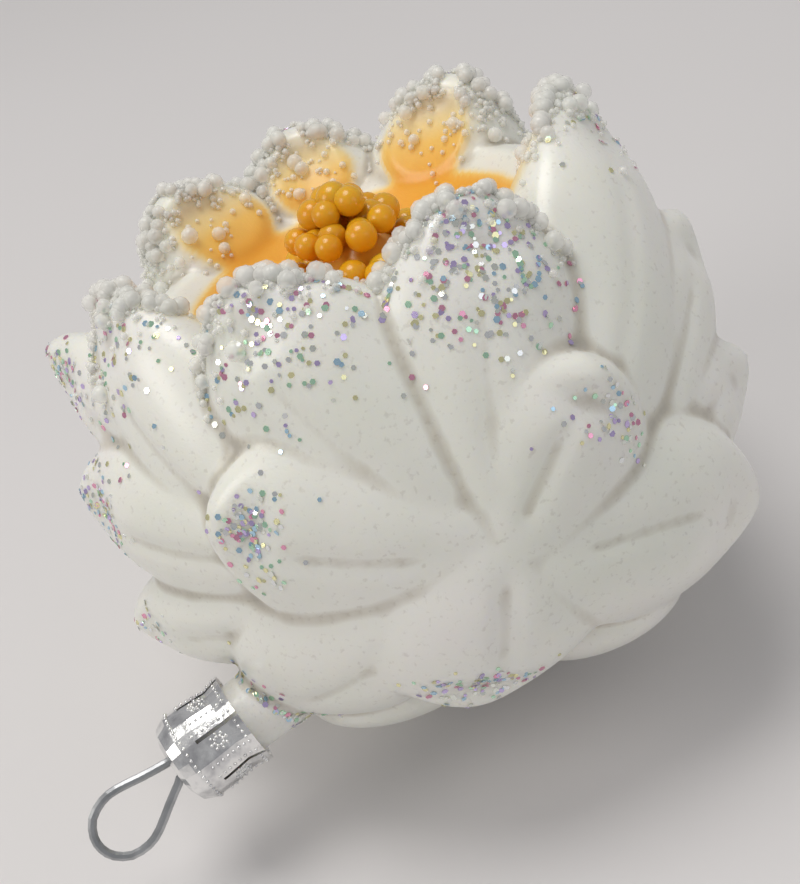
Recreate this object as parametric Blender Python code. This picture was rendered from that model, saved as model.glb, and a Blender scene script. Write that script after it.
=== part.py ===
"""A blown-glass water lily ornament, lying on its side petals, its base and its wire loop.

The flower is modelled upright in its own space, in millimetres: z = 0 is the level of the
seven crown petals' tips and z falls to the base. An empty then lays it down in metres.
"""
import math

import bmesh
import bpy
from mathutils import Matrix, Vector

MM = 0.001

# The blown body: a bowl-like form of revolution that carries the petals
RIM_RADIUS = 28.4        # at the tips of the crown petals
BELT_RADIUS = 39.5       # widest place of the body
BELT_Z = -38.0
BASE_Z = -67.0
WALL = 1.0               # glass thickness
GROOVE = 3.6             # how far the body lies under the petals' faces

# The cup, and the moulded button in its middle that the amber beads are glued on
CUP_PROFILE = ((0.0, -7.6), (3.0, -8.4), (6.0, -11.4), (8.5, -14.6), (11.0, -15.8), (14.5, -14.4),
               (20.5, -8.6), (25.0, -3.6), (27.6, 0.6))

# The neck, on the petal at the lower left
NECK_BASE = Vector((-32.3, -23.4, -48.8))
NECK_AXIS = Vector((-0.970, -0.195, -0.150)).normalized()
NECK_RADIUS = 4.4
NECK_LENGTH = 8.6

# The stamped cap
CAP_RADIUS = 5.7
CAP_WALL = 0.5
CAP_LENGTH = 9.6
CAP_START = 1.0          # from the neck's foot to the cap's lower edge
CAP_TABS = 6
SLIT = 0.45
SLIT_LENGTH = 5.6
HOLE_RADIUS = 0.95

# The sprung wire
WIRE_RADIUS = 0.55
LOOP_HALF_WIDTH = 3.7    # to the wire's middle line
LOOP_LENGTH = 12.4
LOOP_LEAN = math.radians(11)
LEG_REACH = 7.4          # how far the legs go down inside the neck
HOLE_SPACING = 1.9

# Beads
AMBER_RADIUS = 1.85
AMBER_RINGS = ((0.0, 1), (4.0, 6), (7.9, 11))
CRUST_BEAD = 1.5
GAP = 0.3

# Towards the side that shows the button and the front petals best; the loop faces it
OPEN_SIDE = Vector((0.0, -0.906, 0.423))

# The table's normal and its sideways direction, in the flower's own space
UP = Vector((0.1084, -0.2038, 0.9730)).normalized()
SIDEWAYS = Vector((0.917, -0.1685, -0.3613))


class Petal:
    """One moulded petal: where it starts and ends on the body, and how plump it is."""

    def __init__(self, tip, base, width, plump=4.6, lift=0.0, sink=None, inner=4.0, foot=0.35):
        self.tip_turn, self.tip_z = tip
        self.base_turn, self.base_z = base
        self.width = width
        self.plump = plump
        self.lift = lift
        self.sink = GROOVE if sink is None else sink
        self.inner = inner
        self.foot = foot


CROWN = {
    "crown_1": Petal((-163, 0), (-118, -27), 9.5, inner=11),
    "crown_2": Petal((134, 0), (108, -30), 12.0, inner=11),
    "crown_3": Petal((92, 0), (90, -32), 12.0, inner=11),
    "crown_4": Petal((43, 0), (70, -30), 12.0, inner=11),
    "crown_5": Petal((-11, 0), (-76, -34), 11.0, inner=11),
    "crown_6": Petal((-65, 0), (-87, -31), 11.8, inner=11),
    "crown_7": Petal((-119, 0), (-93, -27), 12.0, inner=11),
}
OUTER = {
    "right_upper": Petal((-62, -20), (-88, -36), 12.0, lift=2.0, foot=0.6),
    "left_upper": Petal((-131, -21), (-89, -32), 13.0, lift=2.5, foot=0.45),
    "front_low": Petal((-103, -52), (-89, -31), 15.5, lift=0.5, foot=0.6),
    "right_low": Petal((-41, -46), (-88, -37), 12.5, lift=3.0, foot=0.5),
    "left_low": Petal((-146, -49), (-98, -36), 11.0, lift=-1.5),
    "left_side_low": Petal((-171, -40), (-115, -33), 7.5, lift=3.0, sink=5.0),
    "left_side_mid": Petal((-172, -22), (-112, -27), 10.5, lift=3.0, sink=3.8),
    "left_side_high": Petal((-182, -8), (-130, -20), 8.0, lift=5.0, sink=5.0),
    "right_side_high": Petal((-15, -18), (-64, -36), 9.5, lift=0.5, sink=4.5),
    "right_side_mid": Petal((-26, -34), (-66, -38), 8.5, lift=1.0, sink=5.0),
    "back_right_upper": Petal((62, -22), (87, -33), 10.0, lift=2.0),
    "back_left_upper": Petal((122, -22), (93, -33), 10.0, lift=2.0),
    "back_low": Petal((92, -51), (90, -32), 13.5, lift=0.5, foot=0.6),
    "back_right_low": Petal((40, -46), (80, -38), 10.5, lift=3.0),
    "back_left_low": Petal((143, -48), (100, -38), 10.5, lift=3.0),
    "back_right_side": Petal((22, -27), (60, -35), 9.0, lift=1.5, sink=4.5),
    "back_left_side": Petal((160, -27), (120, -34), 9.0, lift=2.5, sink=4.5),
}
UNDER = {
    "under_%d" % (i + 1): Petal((turn, -52), (turn, -66.6), 11.0, plump=3.8, foot=0.6)
    for i, turn in enumerate((-62, 10, 82, 154, 226))
}


def body_radius(z):
    if z > BELT_Z:
        return BELT_RADIUS - (BELT_RADIUS - RIM_RADIUS) * ((z - BELT_Z) / -BELT_Z) ** 2
    reach = min(1.0, (BELT_Z - z) / (BELT_Z - BASE_Z))
    return BELT_RADIUS * math.sqrt(1.0 - reach * reach)


def body_point(turn, z, out=0.0):
    """A point on the body, or `out` mm along its surface normal, and that normal."""
    step = 0.05
    slope = (body_radius(z + step) - body_radius(z - step)) / (2 * step)
    around = Vector((math.cos(turn), math.sin(turn), 0.0))
    normal = (around + Vector((0, 0, -slope))).normalized()
    return around * body_radius(z) + Vector((0, 0, z)) + normal * out, normal


def spine(petal, s):
    """The middle line of a petal, from s = 0 at its foot to s = 1 at its tip."""
    turn = math.radians(petal.base_turn + (petal.tip_turn - petal.base_turn) * s)
    z = petal.base_z + (petal.tip_z - petal.base_z) * s
    rise = s ** 3
    return body_point(turn, z, -petal.sink * (1 - rise) + petal.lift * rise)


def width_at(petal, s):
    middle = 0.58
    if s <= middle:
        return petal.width * (petal.foot + (1 - petal.foot) * math.sin(0.5 * math.pi * s / middle))
    return petal.width * (1 - ((s - middle) / (1 - middle)) ** 1.9) ** 0.7


def fullness_at(s):
    middle = 0.5
    if s <= middle:
        return 0.75 + 0.25 * math.sin(0.5 * math.pi * s / middle)
    return (1 - 0.97 * ((s - middle) / (1 - middle)) ** 2.6) ** 0.5


def petal_mesh(bm, petal, inset, sides, stations):
    """A plump closed leaf that wraps round the body; inset thins it for the hollow."""
    rings = []
    last = 1.0 - 0.03 - inset * 0.035
    for i in range(stations):
        s = last * i / (stations - 1)
        place, normal = spine(petal, s)
        ahead, _ = spine(petal, min(1.0, s + 0.01))
        behind, _ = spine(petal, max(0.0, s - 0.01))
        along = (ahead - behind).normalized()
        side = normal.cross(along).normalized()
        normal = along.cross(side).normalized()
        half = max(0.5, width_at(petal, s) - inset)
        outward = max(0.35, petal.plump * fullness_at(s) - inset)
        inward = max(0.3, petal.inner * fullness_at(s) - inset)
        ring = []
        for k in range(sides):
            angle = 2 * math.pi * k / sides
            u = half * math.cos(angle)
            v = (outward if math.sin(angle) > 0 else inward) * math.sin(angle)
            v -= u * u / (2 * 34.0)
            ring.append(bm.verts.new(place + side * u + normal * v))
        rings.append(ring)
    bm.faces.new(rings[0])
    for low, high in zip(rings, rings[1:]):
        for k in range(sides):
            j = (k + 1) % sides
            bm.faces.new((low[k], low[j], high[j], high[k]))
    bm.faces.new(rings[-1])
    bmesh.ops.recalc_face_normals(bm, faces=bm.faces)


def turned(bm, outline, segments):
    """A closed solid of revolution about z from (radius, z) points that start and end on z."""
    rings = []
    for radius, z in outline:
        if radius < 1e-6:
            rings.append([bm.verts.new((0, 0, z))])
            continue
        rings.append([
            bm.verts.new((radius * math.cos(2 * math.pi * k / segments),
                          radius * math.sin(2 * math.pi * k / segments), z))
            for k in range(segments)])
    for low, high in zip(rings, rings[1:]):
        for k in range(segments):
            j = (k + 1) % segments
            if len(low) == 1:
                bm.faces.new((low[0], high[j], high[k]))
            elif len(high) == 1:
                bm.faces.new((low[k], low[j], high[0]))
            else:
                bm.faces.new((low[k], low[j], high[j], high[k]))
    bmesh.ops.recalc_face_normals(bm, faces=bm.faces)


def body_outline(inset):
    """The body under the petals as (radius, z) points, closed over the top."""
    depth = GROOVE + inset * 0.75
    points = [(0.0, BASE_Z + depth)]
    for z in (-65, -61, -55, -47, -38, -28, -19):
        place, _ = body_point(0.0, z, -depth)
        points.append((place.x, place.z))
    points += [(29.0 - inset, -11.0 - inset), (14.0, -7.0 - inset), (0.0, -6.0 - inset)]
    return points


def cup_outline(grow):
    """What the cup takes away, as (radius, z) points; grow leaves the glass wall under it."""
    points = []
    for i, (radius, z) in enumerate(CUP_PROFILE):
        before = Vector(CUP_PROFILE[max(0, i - 1)])
        after = Vector(CUP_PROFILE[min(len(CUP_PROFILE) - 1, i + 1)])
        run = (after - before).normalized()
        points.append((max(0.0, radius + grow * run.y) if i else 0.0, z - grow * run.x))
    reach, top = points[-1]
    points += [(reach + 9.0, top + 9.0), (0.0, top + 9.0)]
    return points


def new_object(name, bm, parent, smooth=True):
    """Turn a mesh measured in millimetres into an object measured in metres."""
    bm.transform(Matrix.Scale(MM, 4))
    mesh = bpy.data.meshes.new(name)
    bm.to_mesh(mesh)
    bm.free()
    obj = bpy.data.objects.new(name, mesh)
    bpy.context.scene.collection.objects.link(obj)
    obj.parent = parent
    if smooth:
        mesh.shade_smooth()
        mesh.set_sharp_from_angle(angle=math.radians(40))
    return obj


def hide_helper(obj):
    obj.hide_render = True
    obj.display_type = "WIRE"


def boolean(obj, operation, others, name):
    """Add one Boolean against all the objects in `others`; the many crossing petals need MANIFOLD."""
    group = bpy.data.collections.new(name)
    for other in others:
        group.objects.link(other)
        hide_helper(other)
    modifier = obj.modifiers.new(name, "BOOLEAN")
    modifier.operation = operation
    modifier.operand_type = "COLLECTION"
    modifier.collection = group
    modifier.solver = "MANIFOLD"
    return modifier


def along_axis(origin, axis):
    """A matrix that carries +z onto an axis through an origin."""
    return Matrix.Translation(origin) @ axis.to_track_quat("Z", "Y").to_matrix().to_4x4()


def cylinder(name, parent, place, radius, low, high, segments=20):
    bm = bmesh.new()
    turned(bm, [(0.0, low), (radius, low), (radius, high), (0.0, high)], segments)
    bm.transform(place)
    return new_object(name, bm, parent)


def make_cup(parent, name, grow, segments):
    bm = bmesh.new()
    turned(bm, cup_outline(grow), segments)
    return new_object(name, bm, parent)


def make_hollow(parent):
    """The inside of the blown body, which the glass wall surrounds."""
    bm = bmesh.new()
    turned(bm, body_outline(WALL), 18)
    hollow = new_object("hollow", bm, parent)
    parts = []
    for name, petal in {**CROWN, **OUTER, **UNDER}.items():
        bm = bmesh.new()
        petal_mesh(bm, petal, WALL, 6, 4)
        parts.append(new_object("hollow_" + name, bm, parent))
    boolean(hollow, "UNION", parts, "hollow parts")
    boolean(hollow, "DIFFERENCE", [make_cup(parent, "cup_back", WALL, 20)], "under the cup")
    neck = along_axis(NECK_BASE, NECK_AXIS)
    bore = cylinder("bore", parent, neck, NECK_RADIUS - WALL, -9.0, NECK_LENGTH + 2, 16)
    boolean(hollow, "UNION", [bore], "neck bore")
    return hollow


def make_glass(parent):
    bm = bmesh.new()
    turned(bm, body_outline(0.0), 20)
    glass = new_object("glass_lily", bm, parent)
    parts = []
    for name, petal in {**CROWN, **OUTER, **UNDER}.items():
        bm = bmesh.new()
        petal_mesh(bm, petal, 0.0, 10, 7 if name in CROWN else 6)
        parts.append(new_object("form_" + name, bm, parent))
    neck = along_axis(NECK_BASE, NECK_AXIS)
    parts.append(cylinder("form_neck", parent, neck, NECK_RADIUS, -6.0, NECK_LENGTH))
    boolean(glass, "UNION", parts, "petals")
    boolean(glass, "DIFFERENCE", [make_cup(parent, "cup", 0.0, 20)], "cup")
    boolean(glass, "DIFFERENCE", [make_hollow(parent)], "inside")
    keep_largest(glass)
    return glass


def keep_largest(obj):
    """Apply the modifiers and drop the loose crumbs that crossing petals leave inside the wall."""
    bpy.context.view_layer.update()
    shape = obj.evaluated_get(bpy.context.evaluated_depsgraph_get())
    bm = bmesh.new()
    bm.from_mesh(shape.to_mesh())
    shape.to_mesh_clear()
    islands, seen = [], set()
    for start in bm.faces:
        if start in seen:
            continue
        island, front = [], [start]
        seen.add(start)
        while front:
            face = front.pop()
            island.append(face)
            for other in (f for edge in face.edges for f in edge.link_faces if f not in seen):
                seen.add(other)
                front.append(other)
        islands.append(island)
    islands.sort(key=len)
    crumbs = [face for island in islands[:-1] for face in island]
    bmesh.ops.delete(bm, geom=crumbs, context="FACES")
    obj.modifiers.clear()
    bm.to_mesh(obj.data)
    bm.free()


def cap_space():
    """The cap's own space: z along the neck's axis from its foot, x along the wire loop's width."""
    across = NECK_AXIS.cross(OPEN_SIDE).normalized()
    front = NECK_AXIS.cross(across)
    return Matrix.Translation(NECK_BASE) @ Matrix((across, front, NECK_AXIS)).transposed().to_4x4()


def box(name, parent, place, low, high):
    bm = bmesh.new()
    bmesh.ops.create_cube(bm, size=1.0)
    low, high = Vector(low), Vector(high)
    for vert in bm.verts:
        vert.co = (low + high) / 2 + Vector(a * b for a, b in zip(vert.co, high - low))
    bm.transform(place)
    return new_object(name, bm, parent, smooth=False)


def make_cap(parent):
    """A thin stamped crown: a domed top with two wire holes and a skirt slit into tabs."""
    space = cap_space()
    foot, top = CAP_START, CAP_START + CAP_LENGTH
    r, wall = CAP_RADIUS, CAP_WALL
    outside = [(0.0, top), (r - 2.2, top), (r - 0.8, top - 0.6), (r - 0.1, top - 2.0),
               (r - 0.1, top - 4.5), (r - 0.4, foot + 2.0), (r + 0.1, foot)]
    inside = [(r + 0.1 - wall, foot), (r - 0.4 - wall, foot + 2.0), (r - 0.1 - wall, top - 4.5),
              (r - 0.1 - wall, top - 2.0), (r - 0.8 - wall * 0.7, top - 0.6 - wall * 0.7),
              (r - 2.2, top - wall), (0.0, top - wall)]
    bm = bmesh.new()
    turned(bm, outside + inside, 24)
    bm.transform(space)
    cap = new_object("metal_cap", bm, parent)
    cutters = []
    for i in range(CAP_TABS):
        turn = Matrix.Rotation(math.radians(14 + 30) + 2 * math.pi * i / CAP_TABS, 4, "Z")
        cutters.append(box("slit_%d" % i, parent, space @ turn, (2.0, -SLIT / 2, foot - 1),
                           (r + 2, SLIT / 2, foot + SLIT_LENGTH)))
    for side in (-1, 1):
        place = space @ Matrix.Translation((side * HOLE_SPACING / 2 + side * 0.15, 0, 0))
        cutters.append(cylinder("hole_%d" % side, parent, place, HOLE_RADIUS, top - 2, top + 2, 12))
    boolean(cap, "DIFFERENCE", cutters, "slits and holes")
    return cap


def wire_route():
    """The wire's middle line: up one leg, round the loop and down the other leg."""
    top = CAP_START + CAP_LENGTH
    half = HOLE_SPACING / 2 + 0.15
    leg = [(2.45, top - LEG_REACH), (1.75, top - 3.5), (half, top - 0.2)]
    bow = [(half + 0.35, 1.2), (2.3, 3.6), (3.4, 6.4), (LOOP_HALF_WIDTH, 8.4), (3.1, 10.6),
           (1.6, 12.0), (0.0, LOOP_LENGTH)]
    lean = Matrix.Rotation(LOOP_LEAN, 2)
    route = [Vector(p) for p in leg]
    route += [lean @ Vector((x, z)) + Vector((0, top)) for x, z in bow]
    route += [lean @ Vector((-x, z)) + Vector((0, top)) for x, z in reversed(bow[:-1])]
    route += [Vector((-x, z)) for x, z in reversed(leg)]
    return route


def smooth_line(points, steps):
    """A Catmull-Rom curve through the points."""
    line = []
    for i in range(len(points) - 1):
        a, b = points[max(0, i - 1)], points[i]
        c, d = points[i + 1], points[min(len(points) - 1, i + 2)]
        for k in range(steps):
            t = k / steps
            line.append(0.5 * (2 * b + (c - a) * t + (2 * a - 5 * b + 4 * c - d) * t * t
                               + (3 * b - a - 3 * c + d) * t ** 3))
    return line + [points[-1]]


def make_wire(parent):
    space = cap_space()
    curve = bpy.data.curves.new("wire_loop", "CURVE")
    curve.dimensions = "3D"
    line = smooth_line(wire_route(), 2)
    spline = curve.splines.new("POLY")
    spline.points.add(len(line) - 1)
    for point, flat in zip(spline.points, line):
        point.co = (space @ Vector((flat.x, 0.0, flat.y)) * MM).to_4d()
    curve.bevel_depth = WIRE_RADIUS * MM
    curve.bevel_resolution = 2
    curve.use_fill_caps = True
    wire = bpy.data.objects.new("wire_loop", curve)
    bpy.context.scene.collection.objects.link(wire)
    wire.parent = parent
    return wire


def cup_height(radius):
    for (r0, z0), (r1, z1) in zip(CUP_PROFILE, CUP_PROFILE[1:]):
        if radius <= r1:
            return z0 + (z1 - z0) * (radius - r0) / (r1 - r0)
    return 0.0


def make_amber(parent):
    """The golden middle: beads glued in rings over the button."""
    count = 0
    for ring, (reach, number) in enumerate(AMBER_RINGS):
        for i in range(number):
            turn = 2 * math.pi * (i + 0.35 * ring) / number
            z = cup_height(reach) + (AMBER_RADIUS + GAP) * (1.0, 1.32, 1.38)[ring]
            bm = bmesh.new()
            bmesh.ops.create_icosphere(bm, subdivisions=2, radius=AMBER_RADIUS)
            bmesh.ops.translate(bm, verts=bm.verts,
                                vec=(reach * math.cos(turn), reach * math.sin(turn), z))
            count += 1
            new_object("amber_bead_%02d" % count, bm, parent)


def crust_places(petal):
    """Bead centres along the rim of a crown petal, clear of the glass."""
    places = []
    stand = CRUST_BEAD + GAP + 0.1
    for s, side_sign in ((0.87, -1), (0.94, -1), (1.0, 0), (0.94, 1), (0.87, 1)):
        place, normal = spine(petal, s)
        behind, _ = spine(petal, s - 0.02)
        along = (place - behind).normalized()
        side = normal.cross(along).normalized()
        half = width_at(petal, s)
        if side_sign == 0:
            places.append(place + along * (stand + 0.2))
            continue
        later = width_at(petal, s + 0.02)
        nearer = width_at(petal, s - 0.02)
        step = (spine(petal, s + 0.02)[0] - spine(petal, s - 0.02)[0]).length
        slope = Vector((step, -(later - nearer))).normalized()
        edge = place + side * side_sign * half - normal * (half * half / 68.0)
        places.append(edge + (side * side_sign * slope.x + along * slope.y) * stand)
    return places


def cleared(parent, name, petal):
    """A crown petal grown by the gap that glued pieces keep to the glass."""
    bm = bmesh.new()
    petal_mesh(bm, petal, -GAP - 0.5, 10, 7)
    return new_object("clear_" + name, bm, parent)


def make_crusts(parent):
    """Clear beads glued along the tip of each crown petal, one joined mass for each petal."""
    for number, petal in enumerate(CROWN.values(), 1):
        beads = []
        line = smooth_line(crust_places(petal), 3)
        for i, place in enumerate(line):
            bm = bmesh.new()
            bmesh.ops.create_icosphere(bm, subdivisions=1, radius=CRUST_BEAD * 1.25)
            bmesh.ops.rotate(bm, verts=bm.verts, cent=(0, 0, 0), matrix=Matrix.Rotation(0.7 * i, 3, "X"))
            bmesh.ops.translate(bm, verts=bm.verts, vec=place)
            beads.append(bm)
        first = new_object("bead_crust_%d" % number, beads[0], parent)
        rest = [new_object("bead_%d_%d" % (number, i), bm, parent)
                for i, bm in enumerate(beads[1:], 1)]
        boolean(first, "UNION", rest, "beads %d" % number)
        boolean(first, "DIFFERENCE", [cleared(parent, *item) for item in {**CROWN, **OUTER}.items()],
                "clear of the glass %d" % number)
        keep_largest(first)


def material(name, colour, roughness, metallic=0.0):
    made = bpy.data.materials.new(name)
    made.use_nodes = True
    shader = made.node_tree.nodes["Principled BSDF"]
    shader.inputs["Base Color"].default_value = (*colour, 1.0)
    shader.inputs["Roughness"].default_value = roughness
    shader.inputs["Metallic"].default_value = metallic
    return made


def lay_down(flower):
    """Turn the flower onto the table and bring its lowest point to z = 0, centred."""
    flat = (SIDEWAYS - UP * SIDEWAYS.dot(UP)).normalized()
    flower.matrix_world = Matrix((flat, UP.cross(flat), UP)).to_4x4()
    bpy.context.view_layer.update()
    graph = bpy.context.evaluated_depsgraph_get()
    corners = []
    for obj in bpy.data.objects:
        if obj.type in {"MESH", "CURVE"} and not obj.hide_render:
            shape = obj.evaluated_get(graph)
            mesh = shape.to_mesh()
            corners += [shape.matrix_world @ vert.co for vert in mesh.vertices]
            shape.to_mesh_clear()
    low = Vector(min(c[i] for c in corners) for i in range(3))
    high = Vector(max(c[i] for c in corners) for i in range(3))
    flower.location = -Vector(((low.x + high.x) / 2, (low.y + high.y) / 2, low.z))


def main():
    for obj in list(bpy.data.objects):
        bpy.data.objects.remove(obj)
    flower = bpy.data.objects.new("flower", None)
    bpy.context.scene.collection.objects.link(flower)
    make_glass(flower)
    make_cap(flower)
    make_wire(flower)
    make_amber(flower)
    make_crusts(flower)
    looks = {
        "glass_lily": material("pearl_glass", (0.86, 0.85, 0.78), 0.35),
        "metal_cap": material("cap_silver", (0.72, 0.72, 0.71), 0.3, 1.0),
        "wire_loop": material("grey_wire", (0.42, 0.43, 0.42), 0.4, 1.0),
        "amber_bead": material("amber_glass", (0.95, 0.55, 0.06), 0.25),
        "bead_crust": material("clear_bead_glass", (0.88, 0.88, 0.84), 0.1),
    }
    for obj in bpy.data.objects:
        for start, look in looks.items():
            if obj.name.startswith(start) and not obj.hide_render:
                obj.data.materials.append(look)
    lay_down(flower)


main()
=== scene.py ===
# %% [markdown]
# A blown-glass water lily ornament lies on a pale table. The blown body is one
# hollow piece with moulded petals, pearl lacquer and a golden cup. Clear beads and
# glitter are glued to the petals, amber beads fill the cup, and a stamped cap with
# a sprung wire closes the neck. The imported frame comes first: everything is placed
# from it.

# %% Load the frame
import math
import random

import bpy
import numpy as np
from mathutils import Matrix, Vector
from mathutils.bvhtree import BVHTree


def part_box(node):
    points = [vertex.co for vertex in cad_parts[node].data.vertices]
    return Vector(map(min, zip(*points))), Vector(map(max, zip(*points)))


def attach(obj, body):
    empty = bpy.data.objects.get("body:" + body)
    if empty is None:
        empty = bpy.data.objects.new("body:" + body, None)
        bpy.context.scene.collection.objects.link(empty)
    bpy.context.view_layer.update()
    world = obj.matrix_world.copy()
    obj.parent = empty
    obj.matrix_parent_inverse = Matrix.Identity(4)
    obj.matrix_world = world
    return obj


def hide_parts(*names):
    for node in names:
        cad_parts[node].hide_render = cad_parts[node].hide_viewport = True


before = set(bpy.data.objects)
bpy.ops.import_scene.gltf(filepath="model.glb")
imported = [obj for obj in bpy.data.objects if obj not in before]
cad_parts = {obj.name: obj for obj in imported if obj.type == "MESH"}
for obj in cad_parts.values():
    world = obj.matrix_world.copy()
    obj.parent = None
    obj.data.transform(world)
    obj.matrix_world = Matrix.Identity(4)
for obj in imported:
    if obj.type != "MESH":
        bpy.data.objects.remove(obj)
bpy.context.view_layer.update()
random.seed(41)
MM = 0.001
print("frame nodes:", len(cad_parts))

# %% [markdown]
# The flower is easiest to think of upright, in millimetres, with z = 0 at the tips
# of the crown petals. One matrix lays that space down where the frame's flower
# lies. The first amber bead sits on the flower's own axis, so its box tells where
# the axis is on the table.

# %% The flower's own space
UP = Vector((0.1084, -0.2038, 0.9730)).normalized()
SIDEWAYS = Vector((0.917, -0.1685, -0.3613))
FIRST_BEAD = Vector((0.0, 0.0, -5.45))
flat = (SIDEWAYS - UP * SIDEWAYS.dot(UP)).normalized()
turn = Matrix((flat, UP.cross(flat), UP))
bead_low, bead_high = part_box("amber_bead_01")
origin = (bead_low + bead_high) / 2 - turn @ (FIRST_BEAD * MM)
TO_TABLE = Matrix.Translation(origin) @ turn.to_4x4() @ Matrix.Scale(MM, 4)
print("flower's origin on the table:", [round(c, 4) for c in origin])

# %% [markdown]
# The body under the petals is a form of revolution, wide at its belt, with a cup
# sunk into its top. Two small functions give its radius at any height, so every
# petal can be laid on it.

# %% The form under the petals
RIM_RADIUS, BELT_RADIUS, BELT_Z, BASE_Z = 28.4, 39.5, -38.0, -67.0
GROOVE = 3.6
CUP = ((0.0, -7.6), (3.0, -8.4), (6.0, -11.4), (8.5, -14.6), (11.0, -15.8), (14.5, -14.4),
       (20.5, -8.6), (25.0, -3.6), (27.6, 0.6))


def body_radius(z):
    if z > BELT_Z:
        return BELT_RADIUS - (BELT_RADIUS - RIM_RADIUS) * ((z - BELT_Z) / -BELT_Z) ** 2
    reach = min(1.0, (BELT_Z - z) / (BELT_Z - BASE_Z))
    return BELT_RADIUS * math.sqrt(1.0 - reach * reach)


def body_point(angle, z, out=0.0):
    slope = (body_radius(z + 0.05) - body_radius(z - 0.05)) / 0.1
    around = Vector((math.cos(angle), math.sin(angle), 0.0))
    normal = (around + Vector((0, 0, -slope))).normalized()
    return around * body_radius(z) + Vector((0, 0, z)) + normal * out, normal


def cup_height(radius):
    for (r0, z0), (r1, z1) in zip(CUP, CUP[1:]):
        if radius <= r1:
            return z0 + (z1 - z0) * (radius - r0) / (r1 - r0)
    return CUP[-1][1]


def cup_radius(z):
    """How far out the cup's wall is at a height."""
    for (r0, z0), (r1, z1) in zip(CUP[4:], CUP[5:]):
        if z <= z1:
            return r0 + (r1 - r0) * max(0.0, z - z0) / (z1 - z0)
    return CUP[-1][0] + (z - CUP[-1][1]) * 0.6


# %% [markdown]
# Each petal is described by where its foot and its tip lie on the body (a turn in
# degrees and a height), how wide and plump it is, and how far its tip lifts off.
# The petals all run out from a place low on the front, and from one on the back,
# as they do on a lily seen from outside.

# %% The petals, by name
def petal(tip, base, width, plump=4.6, lift=0.0, sink=GROOVE, inner=4.0, foot=0.35,
          dent=1.3, crease=0.7):
    return dict(tip=tip, base=base, width=width, plump=plump, lift=lift, sink=sink,
                inner=inner, foot=foot, dent=dent, crease=crease)


CROWN = [
    petal((-163, 0), (-118, -27), 9.5, inner=11),
    petal((134, 0), (108, -30), 12.0, inner=11, crease=0),
    petal((92, 0), (90, -32), 12.0, inner=11, crease=0),
    petal((43, 0), (70, -30), 12.0, inner=11, crease=0),
    petal((-11, 0), (-76, -34), 11.0, inner=11, crease=0.3),
    petal((-65, 0), (-87, -31), 11.8, inner=11, crease=0.5),
    petal((-119, 0), (-93, -27), 12.0, inner=11, crease=0.5),
]
OUTER = [
    petal((-62, -20), (-88, -36), 12.0, lift=2.0, foot=0.6),
    petal((-131, -21), (-89, -32), 13.0, lift=2.5, foot=0.45),
    petal((-103, -52), (-89, -31), 15.5, lift=0.5, foot=0.6),
    petal((-41, -46), (-88, -37), 12.5, lift=3.0, foot=0.5),
    petal((-146, -49), (-98, -36), 11.0, lift=-1.5, dent=0),
    petal((-171, -40), (-115, -33), 7.5, lift=3.0, sink=5.0),
    petal((-172, -22), (-112, -27), 10.5, lift=3.0, sink=3.8),
    petal((-182, -8), (-130, -20), 8.0, lift=5.0, sink=5.0),
    petal((-15, -18), (-64, -36), 9.5, lift=0.5, sink=4.5),
    petal((-26, -34), (-66, -38), 8.5, lift=1.0, sink=5.0),
    petal((62, -22), (87, -33), 10.0, lift=2.0),
    petal((122, -22), (93, -33), 10.0, lift=2.0),
    petal((92, -51), (90, -32), 13.5, lift=0.5, foot=0.6),
    petal((40, -46), (80, -38), 10.5, lift=3.0),
    petal((143, -48), (100, -38), 10.5, lift=3.0),
    petal((22, -27), (60, -35), 9.0, lift=1.5, sink=4.5),
    petal((160, -27), (120, -34), 9.0, lift=2.5, sink=4.5),
]
UNDER = [petal((a, -52), (a, -66.6), 11.0, plump=3.8, foot=0.6, dent=0, crease=0)
         for a in (-62, 10, 82, 154, 226)]
print("petals:", len(CROWN), "crown,", len(OUTER), "outer,", len(UNDER), "under")

# %% [markdown]
# A point on a petal is named by s, from foot to tip, and by an angle round its
# cross-section. The tip's outer face has a shallow dent, and a soft crease runs
# from it towards the foot, as the mould pressed them.

# %% Where a petal's skin is
def spine(p, s):
    angle = math.radians(p["base"][0] + (p["tip"][0] - p["base"][0]) * s)
    z = p["base"][1] + (p["tip"][1] - p["base"][1]) * s
    rise = s ** 3
    return body_point(angle, z, -p["sink"] * (1 - rise) + p["lift"] * rise)


def petal_axes(p, s):
    place, normal = spine(p, s)
    along = (spine(p, min(1.0, s + 0.01))[0] - spine(p, max(0.0, s - 0.01))[0]).normalized()
    side = normal.cross(along).normalized()
    return place, side, along.cross(side).normalized(), along


def half_width(p, s):
    if s <= 0.58:
        return p["width"] * (p["foot"] + (1 - p["foot"]) * math.sin(0.5 * math.pi * s / 0.58))
    return p["width"] * max(0.0, 1 - ((s - 0.58) / 0.42) ** 1.9) ** 0.7


def fullness(s):
    if s <= 0.5:
        return 0.75 + 0.25 * math.sin(math.pi * s)
    return (1 - 0.97 * ((s - 0.5) / 0.5) ** 2.6) ** 0.5


def relief(p, s, u):
    """How far the outer face is pressed in: the dent at the tip and the crease behind it."""
    dent = p["dent"] * math.exp(-((s - 0.84) / 0.075) ** 2 - (u / (0.42 * p["width"])) ** 2)
    fade = max(0.0, min(1.0, (s - 0.15) / 0.15)) * max(0.0, min(1.0, (0.8 - s) / 0.15))
    line = p["width"] * 0.18 * math.sin(3.0 * s)
    return dent + p["crease"] * fade * math.exp(-((u - line) / 1.1) ** 2)


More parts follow.
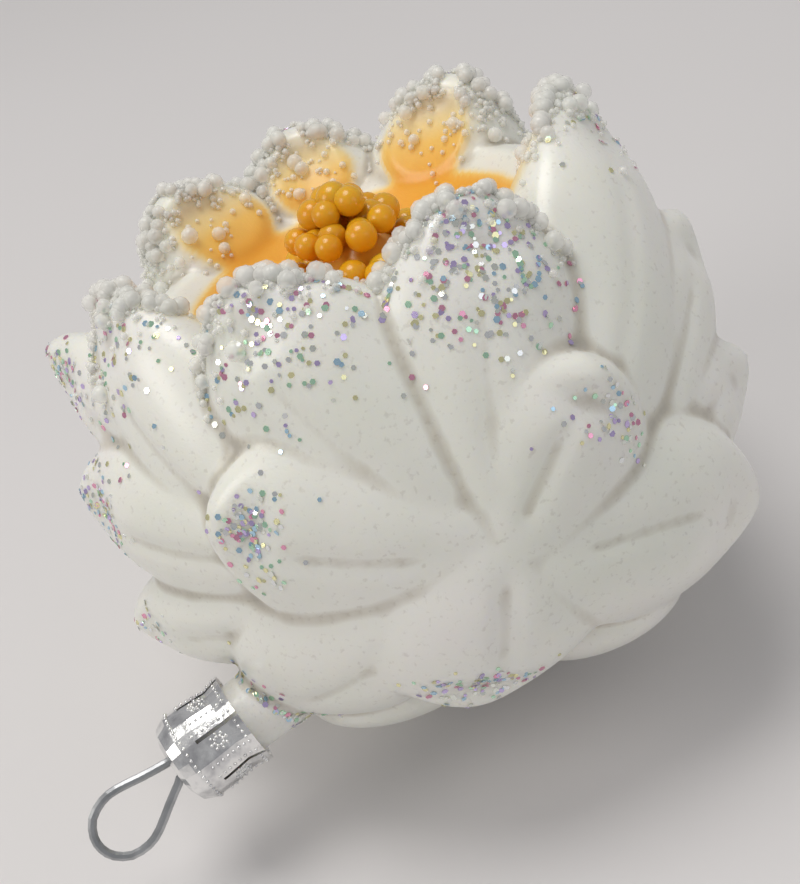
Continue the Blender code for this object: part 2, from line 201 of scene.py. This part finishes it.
def skin_point(p, s, angle, axes=None):
    place, side, normal, _ = axes or petal_axes(p, s)
    half = max(0.3, half_width(p, s))
    u = half * math.cos(angle)
    lean = math.sin(angle)
    v = (p["plump"] if lean > 0 else p["inner"]) * max(0.05, fullness(s)) * lean
    if lean > 0:
        v -= relief(p, s, u) * lean
    v -= u * u / 68.0
    return place + side * u + normal * v


# %% [markdown]
# A petal starts as a filled circle that is extruded again and again into a ribbed
# rod. The rod is then pressed onto the form: every rib takes its width, its
# thickness and its place from the functions above. Rods are good for this,
# because their ribs stay in order from foot to tip.

# %% Extrude one rod and press a petal from it
RIBS, SIDES = 44, 40


def start_fresh():
    if bpy.context.object and bpy.context.object.mode != "OBJECT":
        bpy.ops.object.mode_set(mode="OBJECT")
    bpy.ops.object.select_all(action="DESELECT")


def make_rod():
    start_fresh()
    bpy.ops.mesh.primitive_circle_add(vertices=SIDES, radius=1.0, fill_type="NGON")
    bpy.ops.object.mode_set(mode="EDIT")
    bpy.ops.mesh.select_all(action="SELECT")
    for _ in range(RIBS):
        bpy.ops.mesh.extrude_region_move(TRANSFORM_OT_translate={"value": (0, 0, 1)})
    bpy.ops.mesh.select_all(action="SELECT")
    bpy.ops.mesh.normals_make_consistent(inside=False)
    bpy.ops.object.mode_set(mode="OBJECT")
    return bpy.context.object


def press_petal(rod, p, name):
    made = rod.copy()
    made.data = rod.data.copy()
    made.name = name
    bpy.context.scene.collection.objects.link(made)
    frames = [petal_axes(p, 0.985 * i / RIBS) for i in range(RIBS + 1)]
    for vert in made.data.vertices:
        rib = round(vert.co.z)
        angle = math.atan2(vert.co.y, vert.co.x)
        s = 0.985 * rib / RIBS
        spot = skin_point(p, s, angle, frames[rib])
        if p["inner"] > 5 and spot.z > -15:
            reach = math.hypot(spot.x, spot.y)
            across = math.cos(angle)
            wall = cup_radius(spot.z) + 1.5 * (1 - across * across) * min(1.0, -spot.z / 4 + 0.2)
            if reach < wall:
                spot.x, spot.y = spot.x * wall / reach, spot.y * wall / reach
        vert.co = spot
    return made


rod = make_rod()
pressed = [press_petal(rod, p, "petal_%d" % i) for i, p in enumerate(CROWN + OUTER + UNDER)]
print("pressed petals:", len(pressed), "from a rod of", len(rod.data.vertices), "points")

# %% [markdown]
# The body under the petals is an outline spun round the axis. The neck is a
# cylinder on the lower left petal. Petals, body and neck are joined and given one
# skin by a voxel remesh, which is how blown glass is: one wall with soft grooves.

# %% Spin the body, add the neck and give all one skin
NECK_BASE = Vector((-32.3, -23.4, -48.8))
NECK_AXIS = Vector((-0.970, -0.195, -0.150)).normalized()


def spun(name, outline, steps):
    start_fresh()
    mesh = bpy.data.meshes.new(name)
    points = [(r, 0, z) for r, z in outline]
    mesh.from_pydata(points, [(i, i + 1) for i in range(len(points) - 1)], [])
    obj = bpy.data.objects.new(name, mesh)
    bpy.context.scene.collection.objects.link(obj)
    bpy.context.view_layer.objects.active = obj
    obj.select_set(True)
    bpy.ops.object.mode_set(mode="EDIT")
    bpy.ops.mesh.select_all(action="SELECT")
    bpy.ops.mesh.spin(steps=steps, angle=2 * math.pi, center=(0, 0, 0), axis=(0, 0, 1))
    bpy.ops.mesh.select_all(action="SELECT")
    bpy.ops.mesh.remove_doubles(threshold=0.001)
    bpy.ops.mesh.normals_make_consistent(inside=False)
    bpy.ops.object.mode_set(mode="OBJECT")
    return obj


under_petals = [(0.0, BASE_Z + GROOVE)]
for level in (-66, -64.5, -62, -59, -55, -50, -44, -38, -32, -26, -19, -14):
    place, _ = body_point(0.0, level, -GROOVE)
    under_petals.append((place.x, place.z))
under_petals += [(27.5, -9.6), (24.0, cup_height(24.0) - 4.0)]
under_petals += [(r, z) for r, z in reversed(CUP) if r < 20.0]
body = spun("glass_body", under_petals, 96)
start_fresh()
bpy.ops.mesh.primitive_cylinder_add(vertices=48, radius=4.4, depth=16.0)
neck = bpy.context.object
tilt = NECK_AXIS.to_track_quat("Z", "Y").to_matrix().to_4x4()
neck.data.transform(Matrix.Translation(NECK_BASE + NECK_AXIS * 0.6) @ tilt)
start_fresh()
for piece in pressed + [neck, body]:
    piece.select_set(True)
bpy.context.view_layer.objects.active = body
bpy.ops.object.join()
bpy.data.objects.remove(rod)
skin = body.modifiers.new("one skin", "REMESH")
skin.mode = "VOXEL"
skin.voxel_size = 0.62
bpy.ops.object.modifier_apply(modifier="one skin")
soften = body.modifiers.new("soften", "SMOOTH")
soften.factor = 0.5
soften.iterations = 4
bpy.ops.object.modifier_apply(modifier="soften")
print("glass skin faces:", len(body.data.polygons))

# %% [markdown]
# Colour masks are kept on the mesh's own points, so they stay with the surface.
# "cup" is how deep a point lies in the golden cup, and the groove mask is how hollow
# the surface is there: it paints shade into the hollows, together with the dust that sits there.

# %% Masks for the cup and the grooves
count = len(body.data.vertices)
points = np.zeros(count * 3)
body.data.vertices.foreach_get("co", points)
points = points.reshape(-1, 3)
edges = np.zeros(len(body.data.edges) * 2, dtype=np.int64)
body.data.edges.foreach_get("vertices", edges)
edges = edges.reshape(-1, 2)
normals = np.zeros(count * 3)
body.data.vertices.foreach_get("normal", normals)
normals = normals.reshape(-1, 3)


def neighbour_mean(values):
    total = np.zeros_like(values)
    number = np.zeros(count)
    for a, b in ((0, 1), (1, 0)):
        np.add.at(total, edges[:, a], values[edges[:, b]])
        np.add.at(number, edges[:, a], 1)
    number = np.maximum(number, 1)
    return total / (number[:, None] if values.ndim == 2 else number)


mean = points.copy()
for _ in range(3):
    mean = neighbour_mean(mean)
hollow = np.einsum("ij,ij->i", mean - points, normals)
for _ in range(2):
    hollow = neighbour_mean(hollow)
radius = np.hypot(points[:, 0], points[:, 1])
inside = np.array([cup_height(r) for r in radius])
facing_in = -(normals[:, 0] * points[:, 0] + normals[:, 1] * points[:, 1]) / np.maximum(radius, 1)
in_cup = (points[:, 2] > inside - 2.5) & (radius < 29.0) & ((facing_in > -0.15) | (radius < 16.0))
cup_mask = np.where(in_cup, np.clip(-points[:, 2] / 11.0 + 0.05, 0, 1), 0.0)
for _ in range(3):
    cup_mask = neighbour_mean(cup_mask)


def keep_mask(obj, name, values):
    layer = obj.data.attributes.new(name, "FLOAT", "POINT")
    layer.data.foreach_set("value", np.ascontiguousarray(values, dtype=np.float32))


keep_mask(body, "cup", cup_mask)
# how hollow each point is: the finish uses it to darken the hollows as painted shade, and as the
# dust there
keep_mask(body, "groove_shade_and_dust", np.clip(hollow / 0.10, -1, 1))
body.data.transform(TO_TABLE)
start_fresh()
body.select_set(True)
bpy.context.view_layer.objects.active = body
bpy.ops.object.shade_smooth()
print("hollow range", float(hollow.min()), float(hollow.max()))

# %% [markdown]
# Finishes are small node networks. A dust group is shared: it puts out a mask that
# breaks up with noise, so each finish can be a little uneven in its own way.

# %% The shared unevenness group
uneven = bpy.data.node_groups.new("unevenness", "ShaderNodeTree")
uneven.interface.new_socket("Scale", in_out="INPUT", socket_type="NodeSocketFloat")
uneven.interface.new_socket("Mask", in_out="OUTPUT", socket_type="NodeSocketFloat")
group_in = uneven.nodes.new("NodeGroupInput")
group_out = uneven.nodes.new("NodeGroupOutput")
where = uneven.nodes.new("ShaderNodeTexCoord")
cloud = uneven.nodes.new("ShaderNodeTexNoise")
cloud.inputs["Detail"].default_value = 5.0
uneven.links.new(where.outputs["Object"], cloud.inputs["Vector"])
uneven.links.new(group_in.outputs["Scale"], cloud.inputs["Scale"])
uneven.links.new(cloud.outputs["Fac"], group_out.inputs["Mask"])


def finish_base(name, roughness, metallic=0.0):
    made = bpy.data.materials.new(name)
    made.use_nodes = True
    shader = made.node_tree.nodes["Principled BSDF"]
    shader.inputs["Roughness"].default_value = roughness
    shader.inputs["Metallic"].default_value = metallic
    return made, made.node_tree, shader


def add_uneven(tree, scale):
    node = tree.nodes.new("ShaderNodeGroup")
    node.node_tree = uneven
    node.inputs["Scale"].default_value = scale
    return node


def ramp(tree, source, stops):
    node = tree.nodes.new("ShaderNodeValToRGB")
    ladder = node.color_ramp.elements
    ladder[0].position, ladder[0].color = stops[0][0], (*stops[0][1], 1)
    ladder[1].position, ladder[1].color = stops[-1][0], (*stops[-1][1], 1)
    for spot, colour in stops[1:-1]:
        ladder.new(spot).color = (*colour, 1)
    tree.links.new(source, node.inputs["Fac"])
    return node.outputs["Color"]


def mixed(tree, kind, factor, first, second):
    node = tree.nodes.new("ShaderNodeMix")
    node.data_type = "RGBA"
    node.blend_type = kind
    for socket, value in ((node.inputs["Factor"], factor), (node.inputs[6], first),
                          (node.inputs[7], second)):
        if isinstance(value, bpy.types.NodeSocket):
            tree.links.new(value, socket)
        else:
            socket.default_value = value if isinstance(value, float) else (*value, 1)
    return node.outputs[2]


def mask(tree, name):
    node = tree.nodes.new("ShaderNodeAttribute")
    node.attribute_name = name
    return node.outputs["Fac"]


def bumped(tree, shader, height, strength, distance):
    node = tree.nodes.new("ShaderNodeBump")
    node.inputs["Strength"].default_value = strength
    node.inputs["Distance"].default_value = distance
    tree.links.new(height, node.inputs["Height"])
    tree.links.new(node.outputs["Normal"], shader.inputs["Normal"])


# %% Pearl lacquer on glass
def pearl_finish():
    made, tree, shader = finish_base("pearl_lacquer", 0.36)
    broad = ramp(tree, add_uneven(tree, 45.0).outputs["Mask"],
                 [(0.3, (0.80, 0.81, 0.72)), (0.55, (0.87, 0.86, 0.79)),
                  (0.75, (0.88, 0.85, 0.81))])
    speck = ramp(tree, add_uneven(tree, 1500.0).outputs["Mask"],
                 [(0.30, (0.62, 0.58, 0.55)), (0.40, (1, 1, 1)), (1.0, (1, 1, 1))])
    dusty = mixed(tree, "MULTIPLY", 0.3, broad, speck)
    # the hollows darken to warm brown and are multiplied in below: painted shade between the
    # petals, with the dust that sits there
    groove_shade_and_dust = ramp(tree, mask(tree, "groove_shade_and_dust"),
                  [(0.15, (1, 1, 1)), (0.6, (0.68, 0.63, 0.56)), (1.0, (0.44, 0.39, 0.33))])
    dust_and_shade = mixed(tree, "MULTIPLY", 0.75, dusty, groove_shade_and_dust)
    gold = ramp(tree, mask(tree, "cup"),
                [(0.0, (0.86, 0.82, 0.62)), (0.45, (0.93, 0.68, 0.20)), (1.0, (0.90, 0.42, 0.02))])
    tint = ramp(tree, mask(tree, "cup"), [(0.0, (0, 0, 0)), (0.65, (1, 1, 1)), (1.0, (1, 1, 1))])
    colour = mixed(tree, "MIX", tint, dust_and_shade, gold)
    tree.links.new(colour, shader.inputs["Base Color"])
    shader.inputs["Subsurface Weight"].default_value = 0.35
    shader.inputs["Subsurface Radius"].default_value = (1.0, 0.85, 0.5)
    shader.inputs["Subsurface Scale"].default_value = 0.004
    shader.inputs["Coat Weight"].default_value = 0.35
    shader.inputs["Coat Roughness"].default_value = 0.22
    shader.inputs["Sheen Weight"].default_value = 0.15
    fine = tree.nodes.new("ShaderNodeTexNoise")
    fine.inputs["Scale"].default_value = 2600.0
    where = tree.nodes.new("ShaderNodeTexCoord")
    tree.links.new(where.outputs["Object"], fine.inputs["Vector"])
    bumped(tree, shader, fine.outputs["Fac"], 0.25, 0.0001)
    return made


def dress(obj, finish):
    obj.data.materials.clear()
    obj.data.materials.append(finish)


dress(body, pearl_finish())
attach(body, "root")
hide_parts("glass_lily")
print("glass body dressed")

# %% [markdown]
# Beads and flakes are scattered on the finished skin. A search tree finds the
# nearest point of the skin to any wanted place, so nothing floats and nothing is
# buried.

# %% Find places on the skin
skin_tree = BVHTree.FromPolygons([v.co.copy() for v in body.data.vertices],
                                 [tuple(f.vertices) for f in body.data.polygons])


def on_skin(spot):
    """The skin's nearest point and outward normal to a spot in the flower's space."""
    place, normal, _, _ = skin_tree.find_nearest(TO_TABLE @ spot)
    return place, normal


def ball_template(divisions):
    start_fresh()
    bpy.ops.mesh.primitive_ico_sphere_add(subdivisions=divisions, radius=1.0)
    ball = bpy.context.object
    verts = np.array([v.co[:] for v in ball.data.vertices])
    faces = np.array([f.vertices[:] for f in ball.data.polygons])
    bpy.data.objects.remove(ball)
    return verts, faces


SMALL_BALL = ball_template(1)
ROUND_BALL = ball_template(2)
LARGE_BALL = ball_template(3)


def gathered(name, shapes, smooth=True):
    """One object from many copies: each shape is (verts, faces)."""
    verts, faces, start = [], [], 0
    for shape_verts, shape_faces in shapes:
        verts.append(shape_verts)
        faces += [tuple(int(i) + start for i in face) for face in shape_faces]
        start += len(shape_verts)
    mesh = bpy.data.meshes.new(name)
    mesh.from_pydata(np.concatenate(verts).tolist(), [], faces)
    obj = bpy.data.objects.new(name, mesh)
    bpy.context.scene.collection.objects.link(obj)
    if smooth:
        mesh.shade_smooth()
    return obj


def ball(template, centre, radius):
    return template[0] * radius + np.array(centre[:]), template[1]


# %% [markdown]
# Clear beads crowd along the rim of every crown petal, small ones between the big
# ones. Big beads are few. They could be set one by one, but a seeded scatter gives
# each petal its own uneven crowd. The rim is where a petal's outer face meets the cup.

# %% Glue the clear beads to the crown tips
BEADS_PER_PETAL, BIG_SHARE, RIM_SHARE = 430, 0.10, 0.62
BIG_RADII, SMALL_RADII = (0.75, 1.15), (0.22, 0.55)


def bead_finish():
    made, tree, shader = finish_base("clear_bead_glass", 0.06)
    tone = ramp(tree, add_uneven(tree, 260.0).outputs["Mask"],
                [(0.3, (0.95, 0.96, 0.91)), (0.7, (1.0, 0.98, 0.93))])
    tree.links.new(tone, shader.inputs["Base Color"])
    shader.inputs["Alpha"].default_value = 0.5
    shader.inputs["IOR"].default_value = 1.48
    return made


bead_glass = bead_finish()
crusts = []


def glued_bead(p):
    """One clear bead near the tip of a petal, more often at its rim than on its face."""
    s = 1.0 - abs(random.gauss(0, 0.105))
    s = max(0.72, min(0.985, s))
    if random.random() < RIM_SHARE:
        angle = random.choice((0.0, math.pi)) + random.gauss(0, 0.35)
    else:
        angle = random.uniform(0, 2 * math.pi)
    place, normal = on_skin(skin_point(p, s, angle))
    big = random.random() < BIG_SHARE
    size = random.uniform(*(BIG_RADII if big else SMALL_RADII)) * MM
    return ball(ROUND_BALL if big else SMALL_BALL, place + normal * size * 0.55, size)


for number, p in enumerate(CROWN, 1):
    crust = gathered("bead_crust_detail_%d" % number,
                     [glued_bead(p) for _ in range(BEADS_PER_PETAL)])
    dress(crust, bead_glass)
    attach(crust, "root")
    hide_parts("bead_crust_%d" % number)
    crusts.append(crust)
print("bead crusts:", len(crusts))

# %% [markdown]
# The golden middle is a pile of amber glass balls over the moulded button. Each
# has its own size, and the pile is higher in the middle.

# %% Pile up the amber balls
def amber_finish():
    made, tree, shader = finish_base("amber_glass", 0.22)
    tone = ramp(tree, add_uneven(tree, 150.0).outputs["Mask"],
                [(0.3, (0.95, 0.40, 0.01)), (0.6, (0.98, 0.52, 0.02)), (0.8, (1.0, 0.62, 0.05))])
    tree.links.new(tone, shader.inputs["Base Color"])
    shader.inputs["Transmission Weight"].default_value = 0.25
    shader.inputs["Subsurface Weight"].default_value = 0.25
    shader.inputs["Subsurface Radius"].default_value = (1.0, 0.55, 0.12)
    shader.inputs["Subsurface Scale"].default_value = 0.003
    return made


amber_shapes = []
for ring, (reach, number, rise) in enumerate(((0.0, 1, 4.6), (2.6, 5, 4.2), (3.6, 7, 1.8),
                                              (5.6, 9, 4.0), (7.2, 12, 1.8),
                                              (8.6, 13, 3.6), (11.2, 16, 1.8))):
    for i in range(number):
        angle = 2 * math.pi * (i + 0.4 * ring + random.uniform(-0.12, 0.12)) / number
        far = reach + random.uniform(-0.3, 0.3)
        z = cup_height(abs(far)) + rise + random.uniform(-0.3, 0.5)
        size = random.uniform(1.6, 2.05)
        centre = TO_TABLE @ Vector((far * math.cos(angle), far * math.sin(angle), z))
        amber_shapes.append(ball(LARGE_BALL, centre, size * MM))
amber = gathered("amber_middle", amber_shapes)
dress(amber, amber_finish())
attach(amber, "root")
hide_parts(*["amber_bead_%02d" % (i + 1) for i in range(18)])
print("amber balls:", len(amber_shapes))

# %% [markdown]
# Glitter is cut from thin film into tiny six-sided flakes that lie almost flat on
# the lacquer, so each catches the light on its own. Every flake keeps its own tint.

# %% Scatter the glitter
FLAKE_TINTS = ((0.90, 0.93, 0.86), (0.62, 0.95, 0.70), (0.95, 0.45, 0.62), (0.72, 0.60, 0.95),
               (0.55, 0.80, 0.98), (0.97, 0.93, 0.55), (0.93, 0.95, 0.95))
# which petal, where along and across it, how spread, how many
GLITTER_SPOTS = (
    (CROWN[5], 0.78, 0.0, 0.13, 0.5, 330), (CROWN[6], 0.78, -0.1, 0.12, 0.6, 190),
    (CROWN[0], 0.80, 0.0, 0.12, 0.6, 130), (CROWN[4], 0.90, 0.0, 0.07, 0.6, 70),
    (CROWN[1], 0.90, 0.0, 0.08, 0.7, 60), (CROWN[2], 0.90, 0.0, 0.08, 0.7, 60),
    (CROWN[3], 0.90, 0.0, 0.08, 0.7, 60),
    (OUTER[0], 0.80, -0.4, 0.10, 0.35, 60), (OUTER[1], 0.84, 0.0, 0.06, 0.35, 120),
    (OUTER[2], 0.82, 0.0, 0.05, 0.35, 90), (OUTER[4], 0.90, 0.0, 0.07, 0.5, 110),
    (OUTER[6], 0.84, 0.0, 0.08, 0.5, 110), (OUTER[7], 0.86, 0.0, 0.08, 0.5, 90),
    (OUTER[5], 0.88, 0.0, 0.06, 0.4, 25), (OUTER[10], 0.84, 0.0, 0.06, 0.4, 60),
    (OUTER[11], 0.84, 0.0, 0.06, 0.4, 60), (OUTER[12], 0.84, 0.0, 0.06, 0.4, 60),
)
FLAKE_RADII, FLAKE_LOW, FLAKE_HIGH = (0.2, 0.4), 0.02, 0.10
flakes, flake_tints = [], []


def cut_flake(place, normal):
    """A thin six-sided prism that lies almost flat on the skin."""
    radius_mm = random.uniform(*FLAKE_RADII)
    tilt = (normal + Vector([random.gauss(0, 0.16) for _ in range(3)])).normalized()
    x_axis = tilt.orthogonal().normalized()
    y_axis = tilt.cross(x_axis)
    corners = []
    for height in (FLAKE_LOW, FLAKE_HIGH):
        for k in range(6):
            a = math.pi * k / 3
            reach = x_axis * math.cos(a) + y_axis * math.sin(a)
            corners.append(place + reach * radius_mm * MM + normal * height * MM)
    sides = [(k, (k + 1) % 6, (k + 1) % 6 + 6, k + 6) for k in range(6)]
    faces = [tuple(reversed(range(6))), tuple(range(6, 12))] + sides
    return np.array([c[:] for c in corners]), faces


for p, s_middle, u_middle, s_spread, u_spread, number in GLITTER_SPOTS:
    for _ in range(number):
        s = max(0.3, min(0.98, random.gauss(s_middle, s_spread)))
        across = max(-0.95, min(0.95, random.gauss(u_middle, u_spread)))
        place, normal = on_skin(skin_point(p, s, math.acos(across)))
        flakes.append(cut_flake(place, normal))
        flake_tints.append(random.choice(FLAKE_TINTS))
glitter = gathered("glitter", flakes, smooth=False)
tint_layer = glitter.data.color_attributes.new("tint", "FLOAT_COLOR", "POINT")
tint_layer.data.foreach_set("color", [c for t in flake_tints for _ in range(12) for c in (*t, 1.0)])


def glitter_finish():
    made, tree, shader = finish_base("glitter_film", 0.16, 0.85)
    tint = tree.nodes.new("ShaderNodeAttribute")
    tint.attribute_name = "tint"
    shade = mixed(tree, "MULTIPLY", 0.25, tint.outputs["Color"],
                  add_uneven(tree, 900.0).outputs["Mask"])
    tree.links.new(shade, shader.inputs["Base Color"])
    return made


dress(glitter, glitter_finish())
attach(glitter, "root")
print("glitter flakes:", len(flakes))

# %% [markdown]
# The cap and its wire are true to the frame already, so they keep the frame's
# shapes and get their metals here. The cap's stamped ornament is added on top: a
# border of raised dots along each tab, and a row round the crown of the cap.

# %% Finish the metal and stamp the cap
def silver_finish():
    made, tree, shader = finish_base("cap_silver", 0.2, 1.0)
    tone = ramp(tree, add_uneven(tree, 420.0).outputs["Mask"],
                [(0.35, (0.60, 0.60, 0.61)), (0.55, (0.90, 0.90, 0.89))])
    tree.links.new(tone, shader.inputs["Base Color"])
    bumped(tree, shader, add_uneven(tree, 800.0).outputs["Mask"], 0.25, 0.0002)
    return made


def wire_finish():
    made, tree, shader = finish_base("grey_wire", 0.36, 1.0)
    tone = ramp(tree, add_uneven(tree, 500.0).outputs["Mask"],
                [(0.3, (0.36, 0.37, 0.38)), (0.7, (0.52, 0.53, 0.54))])
    tree.links.new(tone, shader.inputs["Base Color"])
    return made


silver = silver_finish()
for node, finish in (("metal_cap", silver), ("wire_loop", wire_finish())):
    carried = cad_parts[node]
    dress(carried, finish)

OPEN_SIDE = Vector((0.0, -0.906, 0.423))
across = NECK_AXIS.cross(OPEN_SIDE).normalized()
toward = NECK_AXIS.cross(across)
CAP_RADIUS, CAP_START, TABS, SLIT = 5.7, 1.0, 6, 0.45
STAMP_HEIGHT, CROWN_ROW_HEIGHT, CROWN_ROW = 3.4, 7.2, 44
EDGE_DOT, ROW_DOT = 0.24, 0.26


def cap_tree():
    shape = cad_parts["metal_cap"].data
    return BVHTree.FromPolygons([v.co.copy() for v in shape.vertices],
                                [tuple(f.vertices) for f in shape.polygons])


cap_skin = cap_tree()


def cap_spot(turned, height):
    """A place on the cap's outside, looking in from well outside it."""
    out = across * math.cos(turned) + toward * math.sin(turned)
    start = TO_TABLE @ (NECK_BASE + NECK_AXIS * height + out * 12.0)
    inward = (turn @ -out).normalized()
    return cap_skin.ray_cast(start, inward, 0.012)


dots = []
for tab in range(TABS):
    middle = 2 * math.pi * (tab + 0.5) / TABS
    edge = math.pi / TABS - (SLIT / 2 + 0.55) / CAP_RADIUS
    route = [(side * edge, CAP_START + 0.7 + 0.72 * k) for side in (-1, 1) for k in range(8)]
    route += [(edge * (k / 3.0 - 1.0), CAP_START + 0.7) for k in range(1, 6)]
    for k in range(8):
        a = math.pi * k / 4
        for reach in (0.55, 0.95):
            route.append((reach * math.cos(a) / CAP_RADIUS,
                          CAP_START + STAMP_HEIGHT + reach * math.sin(a)))
    for offset, height in route:
        place = cap_spot(middle + offset, height)[0]
        if place is not None:
            dots.append(ball(SMALL_BALL, place, EDGE_DOT * MM))
for k in range(CROWN_ROW):
    place = cap_spot(2 * math.pi * k / CROWN_ROW, CAP_START + CROWN_ROW_HEIGHT)[0]
    if place is not None:
        dots.append(ball(SMALL_BALL, place, ROW_DOT * MM))
stamped = gathered("cap_stamped_dots", dots)
dress(stamped, silver)
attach(stamped, "root")
print("stamped dots:", len(dots))

# %% [markdown]
# The table is a plain pale sheet, and the light is soft: one wide panel above and
# behind, one at the left, and a weak fill.

# %% Lay the table and hang the lights
start_fresh()
bpy.ops.mesh.primitive_plane_add(size=3.0, location=(0, 0, -0.0003))
table = bpy.context.object
table.name = "table"
table_paint, table_tree, table_shader = finish_base("table_paint", 0.7)
paint = ramp(table_tree, add_uneven(table_tree, 3.0).outputs["Mask"],
             [(0.3, (0.70, 0.68, 0.67)), (0.7, (0.74, 0.72, 0.72))])
table_tree.links.new(paint, table_shader.inputs["Base Color"])
dress(table, table_paint)

FLOWER = TO_TABLE @ Vector((0.0, 0.0, -33.0))


def hang_light(name, offset, size, watts, colour):
    lamp = bpy.data.lights.new(name, "AREA")
    lamp.shape, lamp.size, lamp.energy, lamp.color = "DISK", size, watts, colour
    obj = bpy.data.objects.new(name, lamp)
    obj.location = FLOWER + Vector(offset)
    obj.rotation_euler = (-Vector(offset)).to_track_quat("-Z", "Y").to_euler()
    bpy.context.scene.collection.objects.link(obj)


hang_light("panel_above", (-0.10, 0.05, 0.60), 0.35, 1.8, (1.0, 0.98, 0.95))
hang_light("panel_left", (-0.50, -0.25, 0.35), 0.30, 0.9, (1.0, 0.97, 0.92))
hang_light("panel_right", (0.50, -0.40, 0.30), 0.40, 0.35, (0.92, 0.95, 1.0))
world = bpy.data.worlds.new("room")
bpy.context.scene.world = world
world.use_nodes = True
world.node_tree.nodes["Background"].inputs["Color"].default_value = (0.80, 0.80, 0.82, 1)
world.node_tree.nodes["Background"].inputs["Strength"].default_value = 0.45
bpy.context.scene.view_settings.view_transform = "Standard"
print("lights:", len(bpy.data.lights))

# %% [markdown]
# The camera looks down on the flower's front at a low slant, with the flower's
# opening towards the top of the frame.

# %% Set the camera
EYE_DOWN, EYE_ROLL = math.radians(25.07), math.radians(23.54)
AIM, DISTANCE, LENS = Vector((-3.91, -5.44, -33.11)), 190.0, 69.84
looking = Vector((0, math.cos(EYE_DOWN), -math.sin(EYE_DOWN)))
level_up = Vector((1, 0, 0)).cross(looking)
right = Vector((1, 0, 0)) * math.cos(EYE_ROLL) - level_up * math.sin(EYE_ROLL)
upward = Vector((1, 0, 0)) * math.sin(EYE_ROLL) + level_up * math.cos(EYE_ROLL)
facing = Matrix((turn @ right, turn @ upward, turn @ -looking)).transposed()
lens = bpy.data.cameras.new("camera")
lens.lens, lens.sensor_width, lens.sensor_fit = LENS, 36.0, "HORIZONTAL"
lens.clip_start = 0.001
eye = bpy.data.objects.new("camera", lens)
eye.matrix_world = Matrix.Translation(TO_TABLE @ (AIM - looking * DISTANCE)) @ facing.to_4x4()
bpy.context.scene.collection.objects.link(eye)
bpy.context.scene.camera = eye
print("camera at", [round(c, 3) for c in eye.location])

# %% Finish


print("scene built")
